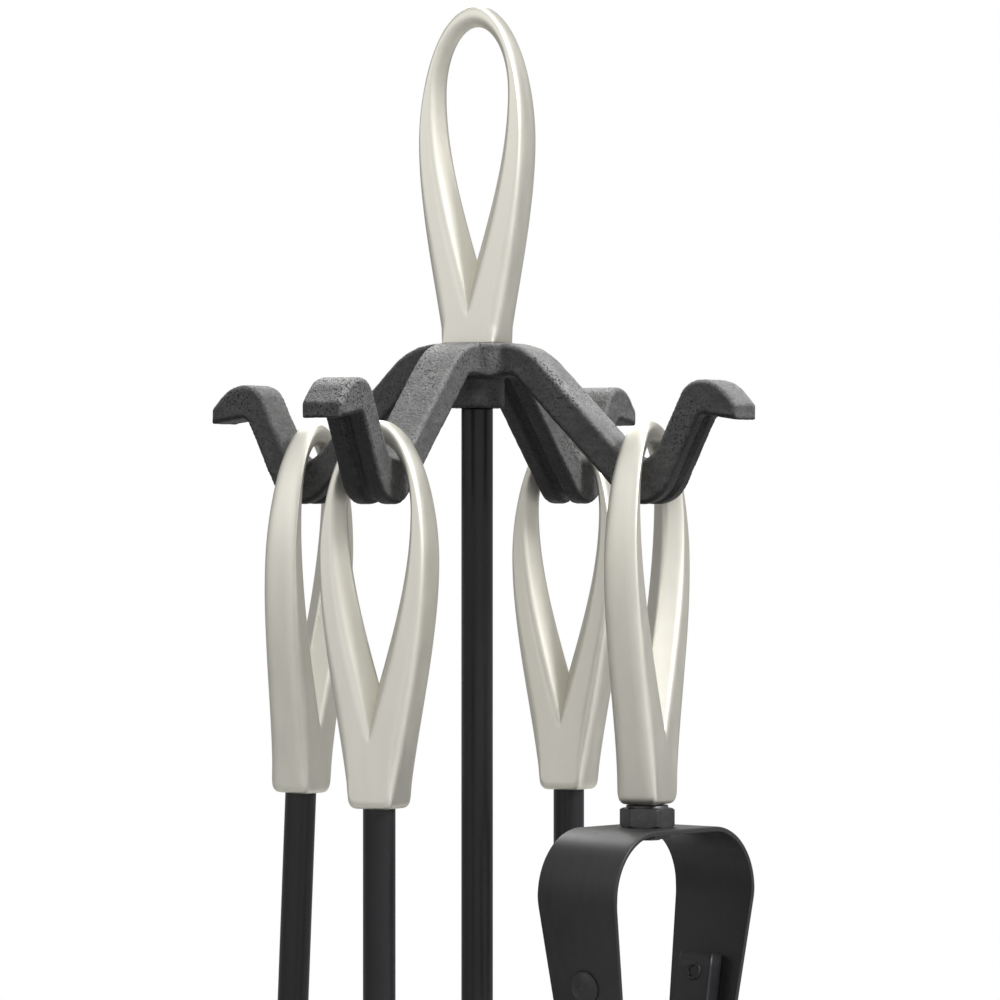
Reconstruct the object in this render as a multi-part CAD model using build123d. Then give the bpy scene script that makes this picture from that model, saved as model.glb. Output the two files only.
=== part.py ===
from build123d import *
import os
from math import cos, radians, sin, sqrt, tan

# Fireplace tool set: a stand with a cast hanger of four hooks, and a poker, a shovel, a brush and
# spring tongs that hang on it by teardrop handles. Millimetres, +Z up, the origin on the floor under
# the pole. The hook arms point along +X, +Y, -X and -Y.

# Base
FOOT_HEIGHT = 3.0
FOOT_DIAMETER = 18.0
FOOT_CIRCLE_DIAMETER = 190.0
FOOT_COUNT = 4
FOOT_TURN = 45.0
BASE_DIAMETER = 230.0
BASE_RIM = 7.0
BASE_THICKNESS = 14.0
BASE_SEAT_DIAMETER = 30.0
BASE_EDGE_ROUND = 2.5
BASE_RECESS_DEPTH = 6.5
BASE_RECESS_DIAMETER = 26.0

# Pole and its threaded ends
POLE_DIAMETER = 12.7
POLE_WALL = 1.5
POLE_LENGTH = 541.0
INSERT_LENGTH = 24.0
INSERT_CLEARANCE = 0.05
THREAD_DIAMETER = 8.0
THREAD_CLEARANCE = 0.05
BASE_BOLT_LENGTH = 24.0
BASE_BOLT_HEAD = 4.5
BASE_BOLT_HEAD_DIAMETER = 14.0
WASHER_DIAMETER = 22.0
WASHER_THICKNESS = 1.6

# Hanger casting
HUB_DIAMETER = 36.0
HUB_THICKNESS = 13.2
BOSS_DIAMETER = 22.0
BOSS_HEIGHT = 12.5
ARM_COUNT = 4
ARM_WIDTH = 18.0
ARM_THICKNESS = 12.5
ARM_SLOPE = 45.0
ARM_BEND_ROUND = 28.0
VALLEY_RADIUS = 80.0
VALLEY_DROP = 54.0
VALLEY_ROUND = 10.0
RISER_LEAN = 26.0
RISER_THICKNESS = 11.0
LIP_RISE = 38.5
LIP_REACH = 22.0
LIP_DROOP = 11.0
LIP_TIP = 5.0
LIP_ROUND = 10.0
LIP_FLAT = 13.0
LIP_FALL = 9.8
LIP_SHOULDER_ROUND = 15.0
UNDER_ROUND = 14.0
LIP_UNDER_ROUND = 3.0
ARM_EDGE_ROUND = 1.4
GROOVE_RADIUS = 2.6

# Teardrop handle, measured up from its tail
HANDLE_LENGTH = 151.0
HANDLE_WIDTH = 47.4
HANDLE_WIDEST_AT = 97.0
TAIL_WIDTH = 18.9
TAIL_DEPTH = 17.4
TAIL_RISE = 0.15
CROWN_DEPTH = 8.6
LOOP_WIDTH = 28.4
LOOP_WIDEST_AT = 116.0
LOOP_NOTCH_AT = 49.0
LOOP_NOTCH_ANGLE = 17.5
CROWN_THICKNESS = 9.2
RIM_GROWTH = 4.9
RIM_NOTCH_AT = 27.3
SIDE_LOW_PULL = 0.12
SIDE_LOW_AT = 0.39
SIDE_HIGH_PULL = 0.23
SIDE_HIGH_AT = 0.79
HANDLE_EDGE_ROUND = 3.0
TOP_HANDLE_CUT = 15.0
HOOK_CLEARANCE = 0.3

# Tool rods and rivets
ROD_DIAMETER = 12.7
ROD_WALL = 1.5
ROD_SOCKET_DEPTH = 20.0
FIT_CLEARANCE = 0.05
TENON_LENGTH = 18.0
RIVET_DIAMETER = 5.0
RIVET_CLEARANCE = 0.05

# Poker
POKER_ROD_LENGTH = 235.0
POKER_POINT_LENGTH = 96.0
POKER_TIP_DIAMETER = 5.0
POKER_HOOK_DIAMETER = 8.5
POKER_HOOK_DROP = 34.0
POKER_HOOK_REACH = 27.0
POKER_HOOK_RISE = 15.0
POKER_HOOK_ROUND = 11.0

# Shovel
SHOVEL_LEAN = 2.5
SHOVEL_ROD_LENGTH = 190.0
TANG_WIDTH = 17.0
TANG_THICKNESS = 4.5
TANG_LENGTH = 58.0
TANG_NECK = 16.0
TANG_ROUND = 8.0
PAN_TOP_WIDTH = 66.0
PAN_LIP_WIDTH = 92.0
PAN_LENGTH = 124.0
PAN_TOP_DEPTH = 26.0
PAN_LIP_DEPTH = 14.0
PAN_WALL = 1.6
PAN_CORNER = 10.0
PAN_DROP = 38.0
PAN_OFFSET = 19.0
SHOVEL_RIVET_HEAD_DIAMETER = 9.5
SHOVEL_RIVET_HEAD = 2.2
SHOVEL_RIVET_SPACING = 24.0

# Brush
BRUSH_ROD_LENGTH = 232.0
COLLAR_DIAMETER = 24.0
COLLAR_HEIGHT = 14.0
BLOCK_DIAMETER = 46.0
BLOCK_HEIGHT = 24.0
BLOCK_ROUND = 5.0
BRISTLE_DIAMETER = 40.0
BRISTLE_END_DIAMETER = 58.0
BRISTLE_LENGTH = 78.0
BRISTLE_INSET = 5.0

# Tongs
TONGS_TWIST = -10.7
TONGS_GAP = 1.5
STUD_DIAMETER = 10.0
STUD_DEPTH = 22.0
STUD_TAIL = 0.6
NUT_FLATS = 19.0
NUT_HEIGHT = 7.5
LOWER_NUT_FLATS = 16.0
LOWER_NUT_HEIGHT = 2.5
BOW_WIDTH = 39.0
BOW_END_WIDTH = 31.0
BOW_THICKNESS = 2.0
BOW_SPAN = 89.5
BOW_SHOULDER = 26.0
BOW_LEAN = 10.0
BOW_LENGTH = 92.0
LEG_WIDTH = 16.5
LEG_THICKNESS = 7.5
LEG_TOP = 54.0
LEG_BEND = 105.0
LEG_BEND_ROUND = 40.0
LEG_SPLAY = 4.0
LEG_LENGTH = 318.0
JAW_REACH = 13.0
JAW_HEIGHT = 26.0
JAW_ROUND = 12.0
TONGS_RIVET_HEAD_DIAMETER = 13.5
TONGS_RIVET_HEAD = 2.6
TONGS_RIVET_SPACING = 24.0
TONGS_RIVET_FROM_TOP = 7.5

# Heights that the stack of pieces gives
BASE_BOTTOM = FOOT_HEIGHT
POLE_BOTTOM = BASE_BOTTOM + BASE_THICKNESS
POLE_TOP = POLE_BOTTOM + POLE_LENGTH
HUB_BOTTOM = POLE_TOP + BOSS_HEIGHT
HUB_TOP = HUB_BOTTOM + HUB_THICKNESS

# Inside sizes of the tubes
POLE_BORE = POLE_DIAMETER - 2 * POLE_WALL
ROD_BORE = ROD_DIAMETER - 2 * ROD_WALL


def cylinder(diameter, height, bottom=0.0):
    """A round bar on the Z axis that stands on the given height."""
    return Pos(0, 0, bottom) * Cylinder(diameter / 2, height, align=(Align.CENTER, Align.CENTER, Align.MIN))


def tube(diameter, wall, height, bottom=0.0):
    """A round tube on the Z axis that stands on the given height."""
    return cylinder(diameter, height, bottom) - cylinder(diameter - 2 * wall, height, bottom)


def prism(outline, width):
    """A profile in the XZ plane, made solid to both sides of it."""
    return extrude(Plane.XZ * make_face(outline), width / 2, both=True)


def hexagon(flats, height, bottom=0.0):
    """A hexagon bar on the Z axis with the given size across its flats."""
    section = RegularPolygon(flats / 2, 6, major_radius=False)
    return extrude(Pos(0, 0, bottom) * section, height)


def rivet(head_diameter, head_height, grip, heads):
    """A rivet along X: one domed head sits on the face at X 0, the other, if any, behind the grip."""
    rim = head_diameter / 2
    radius = (rim ** 2 + head_height ** 2) / (2 * head_height)
    head = Pos(0, 0, head_height - radius) * Sphere(radius)
    head -= Pos(0, 0, -radius) * Box(4 * radius, 4 * radius, 2 * radius)
    shank = cylinder(RIVET_DIAMETER, grip + head_height / 2, -grip)
    pin = shank + head
    if heads > 1:
        pin += Pos(0, 0, -grip) * mirror(head, Plane.XY)
    return Rot(0, 90, 0) * pin


# Stand


def base_plate():
    rim = BASE_DIAMETER / 2
    seat = BASE_SEAT_DIAMETER / 2
    section = Polyline((0, 0), (rim, 0), (rim, BASE_RIM), (seat, BASE_THICKNESS), (0, BASE_THICKNESS),
                       close=True)
    plate = revolve(Plane.XZ * make_face(section), Axis.Z)
    rim_edge = plate.edges().filter_by(GeomType.CIRCLE).filter_by(lambda edge: edge.radius > seat)
    plate = fillet(rim_edge, BASE_EDGE_ROUND)
    plate -= cylinder(BASE_RECESS_DIAMETER, BASE_RECESS_DEPTH)
    plate -= cylinder(THREAD_DIAMETER + 2 * THREAD_CLEARANCE, BASE_THICKNESS)
    return Pos(0, 0, BASE_BOTTOM) * plate


def base_feet():
    foot = cylinder(FOOT_DIAMETER, FOOT_HEIGHT)
    places = PolarLocations(FOOT_CIRCLE_DIAMETER / 2, FOOT_COUNT, start_angle=FOOT_TURN)
    return [place * foot for place in places]


def base_washer():
    wall = (WASHER_DIAMETER - THREAD_DIAMETER) / 2 - THREAD_CLEARANCE
    ring = tube(WASHER_DIAMETER, wall, WASHER_THICKNESS)
    return Pos(0, 0, BASE_BOTTOM + BASE_RECESS_DEPTH - WASHER_THICKNESS) * ring


def base_bolt():
    head_top = BASE_BOTTOM + BASE_RECESS_DEPTH - WASHER_THICKNESS
    shank = cylinder(THREAD_DIAMETER, BASE_BOLT_LENGTH, head_top)
    return shank + cylinder(BASE_BOLT_HEAD_DIAMETER, BASE_BOLT_HEAD, head_top - BASE_BOLT_HEAD)


def pole_insert(bottom):
    wall = (POLE_BORE - THREAD_DIAMETER) / 2 - INSERT_CLEARANCE - THREAD_CLEARANCE
    return tube(POLE_BORE - 2 * INSERT_CLEARANCE, wall, INSERT_LENGTH, bottom)


def top_stud():
    bottom = POLE_TOP - INSERT_LENGTH
    top = HUB_TOP + INSERT_LENGTH / 2
    return cylinder(THREAD_DIAMETER, top - bottom, bottom)


def arm_corners():
    """Corners of a hook arm's side view, as (radius, height), with the round of each corner."""
    valley = (VALLEY_RADIUS, HUB_TOP - VALLEY_DROP)
    bend = (valley[0] - VALLEY_DROP / tan(radians(ARM_SLOPE)), HUB_TOP)
    lip_top = (valley[0] + LIP_RISE * tan(radians(RISER_LEAN)), valley[1] + LIP_RISE)
    lip_end = (lip_top[0] + LIP_REACH, lip_top[1] - LIP_DROOP)
    step = RISER_THICKNESS / cos(radians(RISER_LEAN))
    root = (lip_top[0] + step - (lip_top[1] - lip_end[1] + LIP_TIP / 2) * tan(radians(RISER_LEAN)),
            lip_end[1] - LIP_TIP / 2)
    drop = ARM_THICKNESS / cos(radians(ARM_SLOPE))
    slope = tan(radians(ARM_SLOPE))
    lean = tan(radians(RISER_LEAN))
    # The underside's two lines meet below the valley
    under_height = valley[1] - (drop + step * slope) / (1 + lean * slope)
    under = (valley[0] + step - (valley[1] - under_height) * lean, under_height)
    hub_under = (bend[0] + (HUB_THICKNESS - drop) / slope, HUB_BOTTOM)
    return [
        ((0, HUB_TOP), 0),
        (bend, ARM_BEND_ROUND),
        (valley, VALLEY_ROUND),
        (lip_top, LIP_ROUND),
        ((lip_top[0] + LIP_FLAT, lip_top[1]), LIP_SHOULDER_ROUND),
        ((lip_end[0], lip_top[1] - LIP_FALL), 0),
        ((lip_end[0], lip_end[1] - LIP_TIP), 0),
        (root, LIP_UNDER_ROUND),
        (under, UNDER_ROUND),
        (hub_under, LIP_UNDER_ROUND),
        ((0, HUB_BOTTOM), 0),
    ]


def hook_arm():
    """One S-shaped arm along +X, with a round groove along its underside."""
    corners = arm_corners()
    points = [point for point, _ in corners]
    rounds = [radius for _, radius in corners]
    arm = prism(FilletPolyline(*points, radius=rounds, close=True), ARM_WIDTH)
    long_edges = arm.edges().filter_by(lambda edge: abs(edge.center().Y) > ARM_WIDTH / 4)
    arm = fillet(long_edges.filter_by(lambda edge: edge.center().X > HUB_DIAMETER / 2), ARM_EDGE_ROUND)
    # The groove runs from the lip's root round the valley to the hub
    route = Plane.XZ * FilletPolyline(*points[7:10], radius=rounds[8:9])
    groove = sweep(Plane(origin=route @ 0, z_dir=route % 0) * Circle(GROOVE_RADIUS), route)
    return arm - groove


def hanger_casting():
    hub = cylinder(HUB_DIAMETER, HUB_THICKNESS, HUB_BOTTOM)
    boss = cylinder(BOSS_DIAMETER, BOSS_HEIGHT, POLE_TOP)
    casting = hub + boss
    arm = hook_arm()
    for index in range(ARM_COUNT):
        casting += Rot(0, 0, 360 / ARM_COUNT * index) * arm
    bore = cylinder(THREAD_DIAMETER + 2 * THREAD_CLEARANCE, HUB_TOP - POLE_TOP, POLE_TOP)
    return casting - bore


# Handles


def half_outline(width, widest, top, tail, tail_width, tail_rise):
    """Right half of a teardrop in (across, up): a curve from the tail, then a quarter ellipse."""
    half = width / 2
    start = (tail_width / 2, tail)
    reach = (widest - tail) / 3
    lower = Bezier(start, (start[0] + reach * tail_rise, tail + reach),
                   (half, widest - reach), (half, widest))
    upper = EllipticalCenterArc((0, widest), half, top - widest, 0, arc_size=90)
    return lower, upper


def teardrop(width, widest, top, tail, tail_width, tail_rise):
    """A closed teardrop in the YZ plane, the same on both sides."""
    lower, upper = half_outline(width, widest, top, tail, tail_width, tail_rise)
    edges = [lower, upper, mirror(upper, Plane.YZ), mirror(lower, Plane.YZ)]
    if tail_width > 0:
        edges.append(Line((-tail_width / 2, tail), (tail_width / 2, tail)))
    return Plane.YZ * make_face(edges)


def loop_section(grow, notch):
    """The finger loop's outline from the given notch up, grown by the given amount."""
    top = HANDLE_LENGTH - CROWN_THICKNESS + grow
    slope = tan(radians(LOOP_NOTCH_ANGLE))
    return teardrop(LOOP_WIDTH + 2 * grow, LOOP_WIDEST_AT, top, notch, 0, slope)


def handle_blank(cut=0.0):
    """The teardrop handle, its tail at height 0, less a cut from the tail."""
    blank = extrude(
        teardrop(HANDLE_WIDTH, HANDLE_WIDEST_AT, HANDLE_LENGTH, 0, TAIL_WIDTH, TAIL_RISE),
        TAIL_DEPTH, both=True)
    tail = TAIL_DEPTH / 2
    crown = CROWN_DEPTH / 2
    low = (tail - (tail - crown) * SIDE_LOW_PULL, HANDLE_LENGTH * SIDE_LOW_AT)
    high = (tail - (tail - crown) * SIDE_HIGH_PULL, HANDLE_LENGTH * SIDE_HIGH_AT)
    right = Bezier((tail, 0), low, high, (crown, HANDLE_LENGTH))
    side = [Line((-tail, 0), (tail, 0)), right, Line((crown, HANDLE_LENGTH), (-crown, HANDLE_LENGTH)),
            mirror(right, Plane.YZ)]
    blank &= prism(side, 2 * HANDLE_WIDTH)
    long_edges = blank.edges().filter_by(lambda edge: edge.length > HANDLE_LENGTH / 4)
    blank = fillet(long_edges, HANDLE_EDGE_ROUND)
    # The loop flares from the handle's middle to both faces, most of all at its notch
    middle = loop_section(0, LOOP_NOTCH_AT)
    rim = loop_section(RIM_GROWTH, RIM_NOTCH_AT)
    for side_sign in (1, -1):
        blank -= loft([middle, Pos(side_sign * TAIL_DEPTH / 2, 0, 0) * rim], ruled=True)
    if cut > 0:
        blank -= Box(2 * TAIL_DEPTH, 2 * HANDLE_WIDTH, 2 * cut)
    return blank


def top_handle():
    handle = handle_blank(TOP_HANDLE_CUT)
    bore = cylinder(THREAD_DIAMETER + 2 * THREAD_CLEARANCE, INSERT_LENGTH / 2, TOP_HANDLE_CUT)
    return Pos(0, 0, HUB_TOP - TOP_HANDLE_CUT) * Rot(0, 0, 90) * (handle - bore)


def tool_handle(bore_diameter, bore_depth):
    return handle_blank() - cylinder(bore_diameter + 2 * FIT_CLEARANCE, bore_depth)


# Where a tool hangs: the loop's crown rides on the two top edges of the arm


def valley_point():
    """Lowest point of the rounded valley, as (radius, height)."""
    lean = 90 - RISER_LEAN
    half = (180 - ARM_SLOPE - lean) / 2
    reach = VALLEY_ROUND / sin(radians(half))
    middle = radians(lean + half)
    height = HUB_TOP - VALLEY_DROP + reach * sin(middle) - VALLEY_ROUND
    return VALLEY_RADIUS + reach * cos(middle), height


HANG_RADIUS, HANG_HEIGHT = valley_point()
LOOP_RISE = HANDLE_LENGTH - CROWN_THICKNESS - LOOP_WIDEST_AT
CROWN_GAP = LOOP_RISE * (1 - sqrt(1 - (ARM_WIDTH / LOOP_WIDTH) ** 2)) + HOOK_CLEARANCE
TAIL_HEIGHT = HANG_HEIGHT + CROWN_GAP + CROWN_THICKNESS - HANDLE_LENGTH


def hang(shape, angle, lean=0.0):
    """Put a piece, made with the handle's tail at height 0, on the hook at the given angle."""
    pivot = Vector(0, 0, HANG_HEIGHT - TAIL_HEIGHT)
    swung = Pos(*pivot) * Rot(0, -lean, 0) * Pos(*-pivot) * shape
    return Rot(0, 0, angle) * Pos(HANG_RADIUS, 0, TAIL_HEIGHT) * swung


def tool_rod(length):
    """A tube that hangs from the handle's socket."""
    return tube(ROD_DIAMETER, ROD_WALL, length + ROD_SOCKET_DEPTH, -length)


def tenon(bottom):
    """The plug that a tool's head puts up into the rod."""
    return cylinder(ROD_BORE - 2 * FIT_CLEARANCE, TENON_LENGTH, bottom)


# Poker


def poker_head():
    top = -POKER_ROD_LENGTH
    point = Pos(0, 0, top - POKER_POINT_LENGTH) * Cone(
        POKER_TIP_DIAMETER / 2, ROD_DIAMETER / 2, POKER_POINT_LENGTH,
        align=(Align.CENTER, Align.CENTER, Align.MIN))
    route = Plane.YZ * FilletPolyline(
        (0, top - POKER_HOOK_DROP + POKER_HOOK_ROUND),
        (POKER_HOOK_REACH, top - POKER_HOOK_DROP - POKER_HOOK_RISE / 2),
        (POKER_HOOK_REACH, top - POKER_HOOK_DROP + POKER_HOOK_RISE),
        radius=POKER_HOOK_ROUND)
    hook = sweep(Plane(origin=route @ 0, z_dir=route % 0) * Circle(POKER_HOOK_DIAMETER / 2), route)
    return point + hook + tenon(top)


# Shovel


def shovel_rivet_heights():
    first = -SHOVEL_ROD_LENGTH - PAN_DROP - SHOVEL_RIVET_SPACING / 2
    return [first, first - SHOVEL_RIVET_SPACING]


def shovel_tang():
    """Round neck, then a flat strap cranked inward and down the pan's back."""
    top = -SHOVEL_ROD_LENGTH
    neck = cylinder(ROD_DIAMETER, TANG_NECK, top - TANG_NECK)
    crank = top - TANG_NECK - TANG_THICKNESS
    route = Plane.XZ * FilletPolyline(
        (0, top - TANG_NECK / 2), (0, crank), (-PAN_OFFSET, crank - PAN_OFFSET),
        (-PAN_OFFSET, top - PAN_DROP - TANG_LENGTH), radius=TANG_ROUND)
    start = Plane(origin=route @ 0, x_dir=(0, 1, 0), z_dir=route % 0)
    section = start * Rectangle(TANG_WIDTH, TANG_THICKNESS)
    tang = neck + tenon(top) + sweep(section, route)
    return tang - shovel_rivet_holes()


def shovel_rivet_holes():
    hole = Rot(0, 90, 0) * Cylinder(RIVET_DIAMETER / 2 + RIVET_CLEARANCE, 4 * (TANG_THICKNESS + PAN_WALL))
    return [Pos(-PAN_OFFSET, 0, height) * hole for height in shovel_rivet_heights()]


def shovel_pan():
    """A tapered scoop: a back, two sides and a rounded upper end, open to the front and below."""
    top = -SHOVEL_ROD_LENGTH - PAN_DROP
    back = -PAN_OFFSET - TANG_THICKNESS / 2

    def outline(width, depth, shift, height):
        front = back - depth
        points = [(front, -width / 2 + shift), (back - shift, -width / 2 + shift),
                  (back - shift, width / 2 - shift), (front, width / 2 - shift)]
        rounds = [0, PAN_CORNER - shift, PAN_CORNER - shift, 0]
        return Pos(0, 0, height) * make_face(FilletPolyline(*points, radius=rounds, close=True))

    bottom = top - PAN_LENGTH
    outer = loft([outline(PAN_TOP_WIDTH, PAN_TOP_DEPTH, 0, top),
                  outline(PAN_LIP_WIDTH, PAN_LIP_DEPTH, 0, bottom)])
    inner = loft([outline(PAN_TOP_WIDTH, PAN_TOP_DEPTH, PAN_WALL, top - PAN_WALL),
                  outline(PAN_LIP_WIDTH, PAN_LIP_DEPTH, PAN_WALL, bottom)])
    return outer - inner - shovel_rivet_holes()


def shovel_rivets():
    """Two rivets through the strap and the pan's back, a round head at each end."""
    grip = TANG_THICKNESS + PAN_WALL
    pin = rivet(SHOVEL_RIVET_HEAD_DIAMETER, SHOVEL_RIVET_HEAD, grip, 2)
    return [Pos(TANG_THICKNESS / 2 - PAN_OFFSET, 0, height) * pin for height in shovel_rivet_heights()]


# Brush


def brush_collar():
    top = -BRUSH_ROD_LENGTH
    collar = Pos(0, 0, top - COLLAR_HEIGHT) * Cone(
        COLLAR_DIAMETER / 2, ROD_DIAMETER / 2, COLLAR_HEIGHT, align=(Align.CENTER, Align.CENTER, Align.MIN))
    return collar + tenon(top)


def brush_block():
    top = -BRUSH_ROD_LENGTH - COLLAR_HEIGHT
    block = cylinder(BLOCK_DIAMETER, BLOCK_HEIGHT, top - BLOCK_HEIGHT)
    block = fillet(block.edges().group_by(Axis.Z)[-1], BLOCK_ROUND)
    return block - cylinder(BRISTLE_DIAMETER + 2 * FIT_CLEARANCE, BRISTLE_INSET, top - BLOCK_HEIGHT)


def brush_bristles():
    top = -BRUSH_ROD_LENGTH - COLLAR_HEIGHT - BLOCK_HEIGHT
    root = cylinder(BRISTLE_DIAMETER, BRISTLE_INSET, top)
    tuft = Pos(0, 0, top - BRISTLE_LENGTH) * Cone(
        BRISTLE_END_DIAMETER / 2, BRISTLE_DIAMETER / 2, BRISTLE_LENGTH,
        align=(Align.CENTER, Align.CENTER, Align.MIN))
    return root + tuft


# Tongs: the bow lies in the YZ plane and its band runs along X


BOW_TOP = -TONGS_GAP - NUT_HEIGHT
BOW_TURN = 90 + BOW_LEAN
BOW_CORNER = BOW_SPAN / 2 - BOW_SHOULDER + BOW_SHOULDER * tan(radians(BOW_TURN / 2))


def limb_point(down, inward=0.0):
    """A point (Y, Z) on the outside of the bow's +Y limb, the given way below the corner along it."""
    lean = radians(BOW_LEAN)
    return (BOW_CORNER - down * sin(lean) - inward * cos(lean),
            BOW_TOP - down * cos(lean) + inward * sin(lean))


def bow_route(inward):
    """The bow's outline, moved inward from its outer face."""
    right = limb_point(BOW_LENGTH, inward)
    top = BOW_TOP - inward
    # The shoulder's corner on the moved lines
    corner = (BOW_CORNER - inward * tan(radians(BOW_TURN / 2)), top)
    points = [right, corner, (-corner[0], top), (-right[0], right[1])]
    return FilletPolyline(*points, radius=BOW_SHOULDER - inward)


def tongs_bow():
    outer = bow_route(0)
    inner = bow_route(BOW_THICKNESS)
    ends = [Line(outer @ 0, inner @ 0), Line(outer @ 1, inner @ 1)]
    bow = extrude(Plane.YZ * make_face([outer, inner, *ends]), BOW_WIDTH / 2, both=True)
    # The band narrows from the shoulders to the ends of its limbs
    wide, narrow = BOW_WIDTH / 2, BOW_END_WIDTH / 2
    shoulder, end = BOW_TOP - BOW_SHOULDER, limb_point(BOW_LENGTH)[1] - BOW_THICKNESS
    bow &= prism(Polyline((-wide, 0), (wide, 0), (wide, shoulder), (narrow, end), (-narrow, end),
                          (-wide, shoulder), close=True), 2 * BOW_SPAN)
    bow -= cylinder(STUD_DIAMETER + 2 * FIT_CLEARANCE, 2 * BOW_THICKNESS, BOW_TOP - 1.5 * BOW_THICKNESS)
    for side in (0, 180):
        bow -= [Rot(0, 0, side) * hole for hole in tongs_rivet_holes()]
    return twist(bow)


def twist(shape):
    """Turn the tongs' lower half to the angle it was tightened at."""
    return Rot(0, 0, TONGS_TWIST) * shape


def tongs_stud():
    bottom = BOW_TOP - BOW_THICKNESS - LOWER_NUT_HEIGHT - STUD_TAIL
    return cylinder(STUD_DIAMETER, STUD_DEPTH - bottom, bottom)


def tongs_nut():
    nut = hexagon(NUT_FLATS, NUT_HEIGHT, BOW_TOP)
    return twist(nut - cylinder(STUD_DIAMETER + 2 * FIT_CLEARANCE, NUT_HEIGHT, BOW_TOP))


def tongs_lower_nut():
    bottom = BOW_TOP - BOW_THICKNESS - LOWER_NUT_HEIGHT
    nut = hexagon(LOWER_NUT_FLATS, LOWER_NUT_HEIGHT, bottom)
    return twist(nut - cylinder(STUD_DIAMETER + 2 * FIT_CLEARANCE, LOWER_NUT_HEIGHT, bottom))


def tongs_rivet_places():
    """Where the +Y limb's rivets cross the limb's outer face, as (Y, Z)."""
    first = LEG_TOP + TONGS_RIVET_FROM_TOP
    return [limb_point(first), limb_point(first + TONGS_RIVET_SPACING)]


def across_limb(place):
    """A frame on the +Y limb's outer face whose +X axis points out of the face."""
    return Pos(0, *place) * Rot(-BOW_LEAN, 0, 0) * Rot(0, 0, 90)


def tongs_rivet_holes():
    grip = BOW_THICKNESS + LEG_THICKNESS
    hole = Rot(0, 90, 0) * Cylinder(RIVET_DIAMETER / 2 + RIVET_CLEARANCE, 3 * grip)
    return [across_limb(place) * hole for place in tongs_rivet_places()]


def tongs_rivets(side):
    """Two rivets through the +Y limb and its leg, or through the limb half a turn round."""
    pin = rivet(TONGS_RIVET_HEAD_DIAMETER, TONGS_RIVET_HEAD, BOW_THICKNESS + LEG_THICKNESS, 1)
    return [twist(Rot(0, 0, side) * across_limb(place) * pin) for place in tongs_rivet_places()]


def tongs_leg(side):
    """A flat bar on the inside of the limb, bent to splay out again, with a jaw turned inward."""
    middle = BOW_THICKNESS + LEG_THICKNESS / 2
    bend = limb_point(LEG_BEND, middle)
    foot_height = BOW_TOP - LEG_LENGTH
    foot = (bend[0] + (bend[1] - foot_height) * tan(radians(LEG_SPLAY)), foot_height)
    jaw = (foot[0] - JAW_REACH, foot[1] - JAW_HEIGHT)
    route = Plane.YZ * FilletPolyline(
        limb_point(LEG_TOP, middle), bend, foot, jaw, radius=[LEG_BEND_ROUND, JAW_ROUND])
    start = Plane(origin=route @ 0, x_dir=(1, 0, 0), z_dir=route % 0)
    section = start * Rectangle(LEG_WIDTH, LEG_THICKNESS)
    bar = sweep(section, route) - tongs_rivet_holes()
    return twist(Rot(0, 0, side) * bar)


def save(name, shape):
    """Write one node. A list is a group of separate solids."""
    if isinstance(shape, list):
        shape = Compound(children=shape)
    export_step(shape, f"parts/{name}.step")


os.makedirs("parts", exist_ok=True)

stand = {
    "base_plate": base_plate(),
    "base_feet": base_feet(),
    "base_washer": base_washer(),
    "base_bolt": base_bolt(),
    "pole_tube": tube(POLE_DIAMETER, POLE_WALL, POLE_LENGTH, POLE_BOTTOM),
    "pole_bottom_insert": pole_insert(POLE_BOTTOM),
    "pole_top_insert": pole_insert(POLE_TOP - INSERT_LENGTH),
    "hanger_casting": hanger_casting(),
    "top_stud": top_stud(),
    "top_handle": top_handle(),
}
tongs = {
    "tongs_handle": tool_handle(STUD_DIAMETER, STUD_DEPTH),
    "tongs_stud": tongs_stud(),
    "tongs_nut": tongs_nut(),
    "tongs_lower_nut": tongs_lower_nut(),
    "tongs_bow": tongs_bow(),
    "tongs_left_leg": tongs_leg(180),
    "tongs_right_leg": tongs_leg(0),
    "tongs_left_rivets": tongs_rivets(180),
    "tongs_right_rivets": tongs_rivets(0),
}
rod_handle = tool_handle(ROD_DIAMETER, ROD_SOCKET_DEPTH)
brush = {
    "brush_handle": rod_handle,
    "brush_rod": tool_rod(BRUSH_ROD_LENGTH),
    "brush_collar": brush_collar(),
    "brush_block": brush_block(),
    "brush_bristles": brush_bristles(),
}
shovel = {
    "shovel_handle": rod_handle,
    "shovel_rod": tool_rod(SHOVEL_ROD_LENGTH),
    "shovel_tang": shovel_tang(),
    "shovel_pan": shovel_pan(),
    "shovel_rivets": shovel_rivets(),
}
poker = {
    "poker_handle": rod_handle,
    "poker_rod": tool_rod(POKER_ROD_LENGTH),
    "poker_head": poker_head(),
}

for name, shape in stand.items():
    save(name, shape)
for tool, angle, lean in ((tongs, 0, 0), (brush, 90, 0), (shovel, 180, SHOVEL_LEAN), (poker, 270, 0)):
    for name, shape in tool.items():
        pieces = shape if isinstance(shape, list) else [shape]
        hung = [hang(piece, angle, lean) for piece in pieces]
        save(name, hung if len(hung) > 1 else hung[0])
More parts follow.
